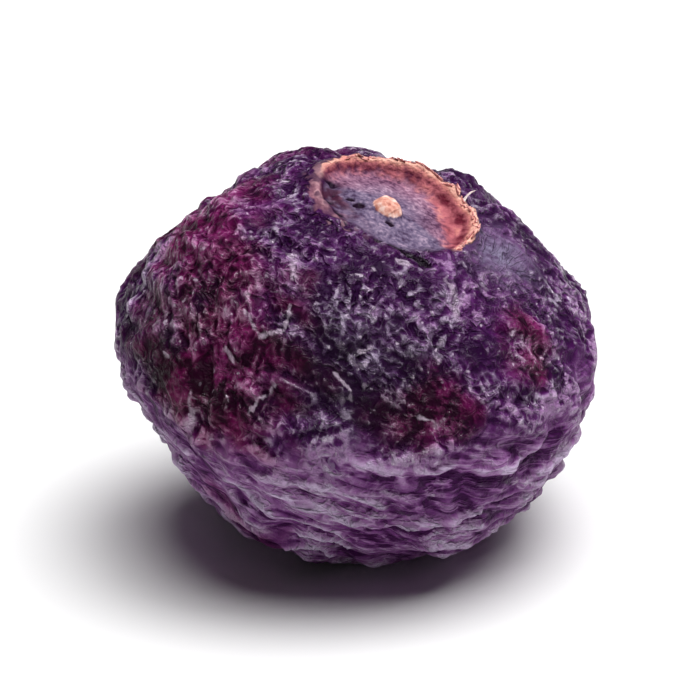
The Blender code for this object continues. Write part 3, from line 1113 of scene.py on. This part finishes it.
placed = add_node(
    growing,
    "GeometryNodeInstanceOnPoints",
    {
        "Points": scattered.outputs[0],
        "Instance": flattened.outputs[0],
        "Rotation": lying.outputs[0],
        "Scale": drawn_anew(0.45, 1.2, 3),
    },
)
grown = add_node(growing, "GeometryNodeRealizeInstances", {"Geometry": placed.outputs[0]})
finished = add_node(
    growing,
    "GeometryNodeSetMaterial",
    {"Geometry": grown.outputs[0], "Material": given["Finish"]},
)
add_node(growing, "NodeGroupOutput", {0: finished.outputs[0]})

growth = shreds.modifiers.new("shreds", "NODES")
growth.node_group = growing
for socket in growing.interface.items_tree:
    if socket.in_out == "INPUT" and socket.name in shred_inputs:
        growth[socket.identifier] = shred_inputs[socket.name][1]
depsgraph = bpy.context.evaluated_depsgraph_get()
shreds_mesh = bpy.data.meshes.new_from_object(shreds.evaluated_get(depsgraph), depsgraph=depsgraph)
shreds.modifiers.clear()
shreds.data = shreds_mesh
shreds_mesh.name = "sepal_shreds"
shred_places = held_inside(np.array([vertex.co for vertex in shreds_mesh.vertices]))
shreds_mesh.vertices.foreach_set("co", shred_places.ravel())
shreds_mesh.shade_smooth()
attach(shreds, "root")


# The sepal's tip
# One sepal hasn't quite crumbled: its tip, a narrow pale sliver as thin as tissue paper, is still
# joined to the rim's right side and curls up and back from it.
TIP_LENGTH = 0.62 * MM
TIP_WIDTH = 0.15 * MM
TIP_THICKNESS = 0.03 * MM
TIP_HEADING = math.radians(30)
TIP_SINK = Vector((0, 0, 0.03)) * MM
TIP_CURL = 0.10 * MM
TIP_STEPS = 10
TIP_SIDES = 8

tip_root = Vector(skin_place(TIP_HEADING, CREST_RADIUS)) - TIP_SINK
tip_along = Vector((0.62, 0.62, 0.30)).normalized()
tip_across = tip_along.cross(Vector((0, 0, 1))).normalized()
tip_up = tip_across.cross(tip_along)
tip_shape = bmesh.new()
tip_rings = []
for step in range(TIP_STEPS):
    share_along = step / TIP_STEPS
    middle = tip_root + tip_along * TIP_LENGTH * share_along
    middle += tip_up * TIP_CURL * math.sin(3.0 * share_along)
    taper = math.sqrt(1 - share_along) * (0.85 + 0.15 * math.cos(9 * share_along))
    ring = []
    for side in range(TIP_SIDES):
        angle = 2 * math.pi * side / TIP_SIDES
        wide = tip_across * TIP_WIDTH / 2 * math.cos(angle)
        thick = tip_up * TIP_THICKNESS / 2 * math.sin(angle)
        ring.append(tip_shape.verts.new(middle + (wide + thick) * taper))
    tip_rings.append(ring)
point = tip_shape.verts.new(tip_root + tip_along * TIP_LENGTH + tip_up * 0.01 * MM)
for ring, next_ring in zip(tip_rings, tip_rings[1:]):
    for side in range(TIP_SIDES):
        after = (side + 1) % TIP_SIDES
        tip_shape.faces.new((ring[side], ring[after], next_ring[after], next_ring[side]))
for side in range(TIP_SIDES):
    tip_shape.faces.new((tip_rings[-1][side], tip_rings[-1][(side + 1) % TIP_SIDES], point))
tip_shape.faces.new(tip_rings[0][::-1])
bmesh.ops.recalc_face_normals(tip_shape, faces=tip_shape.faces)
tip_mesh = bpy.data.meshes.new("sepal_tip")
tip_shape.to_mesh(tip_mesh)
tip_shape.free()
tip_places = held_inside(np.array([vertex.co for vertex in tip_mesh.vertices]))
tip_mesh.vertices.foreach_set("co", tip_places.ravel())
tip_mesh.shade_smooth()
sepal_tip = bpy.data.objects.new("sepal_tip", tip_mesh)
bpy.context.scene.collection.objects.link(sepal_tip)

PALE_COLOURS = ((0.36, (0.50, 0.34, 0.34)), (0.60, (0.84, 0.78, 0.76)))
tip_mesh.materials.append(fibrous_tissue("pale_tissue", 6.0, PALE_COLOURS, 0.0, 1.4))
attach(sepal_tip, "root")


# The stage
# A plain white surface in a white room, with two broad soft lamps above and a narrow one that
# puts glints on the fruit alone. The camera looks down a little, from the photograph's side.
FLOOR_REACH = 2.0
floor_mesh = bpy.data.meshes.new("floor")
floor_shape = bmesh.new()
bmesh.ops.create_grid(floor_shape, x_segments=1, y_segments=1, size=FLOOR_REACH)
floor_shape.to_mesh(floor_mesh)
floor_shape.free()
floor = bpy.data.objects.new("floor", floor_mesh)
bpy.context.scene.collection.objects.link(floor)
paper = bpy.data.materials.new("white_surface")
paper.use_nodes = True
paper.node_tree.nodes["Principled BSDF"].inputs["Base Color"].default_value = (0.90, 0.90, 0.90, 1)
paper.node_tree.nodes["Principled BSDF"].inputs["Roughness"].default_value = 0.7
floor_mesh.materials.append(paper)

# The room is plain white to look at, and its own light on the fruit is faint
surroundings = bpy.data.worlds.new("white_room")
surroundings.use_nodes = True
room = surroundings.node_tree
room_light = room.nodes["Background"]
room_light.inputs["Color"].default_value = (1, 1, 1, 1)
seen = add_node(room, "ShaderNodeLightPath", {}).outputs["Is Camera Ray"]
room.links.new(step_between(room, -0.14, 1.0, seen), room_light.inputs["Strength"])
bpy.context.scene.world = surroundings


def soft_lamp(name, direction, spread_deg, strength):
    """A far lamp whose light comes from one direction, spread over so many degrees."""
    lamp_data = bpy.data.lights.new(name, "SUN")
    lamp_data.angle = math.radians(spread_deg)
    lamp_data.energy = strength
    lamp = bpy.data.objects.new(name, lamp_data)
    lamp.rotation_mode = "QUATERNION"
    lamp.rotation_quaternion = Vector(direction).to_track_quat("Z", "Y")
    bpy.context.scene.collection.objects.link(lamp)
    return lamp


soft_lamp("overhead", (0.15, 0.06, 1.0), 58, 3.2)
soft_lamp("window", (0.42, 0.24, 0.95), 48, 1.3)
glints = soft_lamp("glints", (0.25, -0.30, 1.0), 4, 1.3)
lit_by_glints = bpy.data.collections.new("lit_by_glints")
lit_by_glints.objects.link(fruit)
lit_by_glints.objects.link(shreds)
lit_by_glints.objects.link(sepal_tip)
glints.light_linking.receiver_collection = lit_by_glints

VIEW_MIDDLE = Vector((0.0, 0.0, 5.6)) * MM
VIEW_WIDTH = 20.6 * MM
CAMERA_DISTANCE = 250 * MM
CAMERA_RISE = math.radians(24)
SENSOR_WIDTH = 36
camera_data = bpy.data.cameras.new("camera")
camera_data.sensor_width = SENSOR_WIDTH
camera_data.lens = SENSOR_WIDTH * CAMERA_DISTANCE / VIEW_WIDTH
camera_data.clip_start = 0.01
camera = bpy.data.objects.new("camera", camera_data)
back = Vector((0, -math.cos(CAMERA_RISE), math.sin(CAMERA_RISE)))
camera.location = VIEW_MIDDLE + back * CAMERA_DISTANCE
camera.rotation_mode = "QUATERNION"
camera.rotation_quaternion = back.to_track_quat("Z", "Y")
bpy.context.scene.collection.objects.link(camera)
bpy.context.scene.camera = camera
bpy.context.scene.view_settings.view_transform = "Standard"
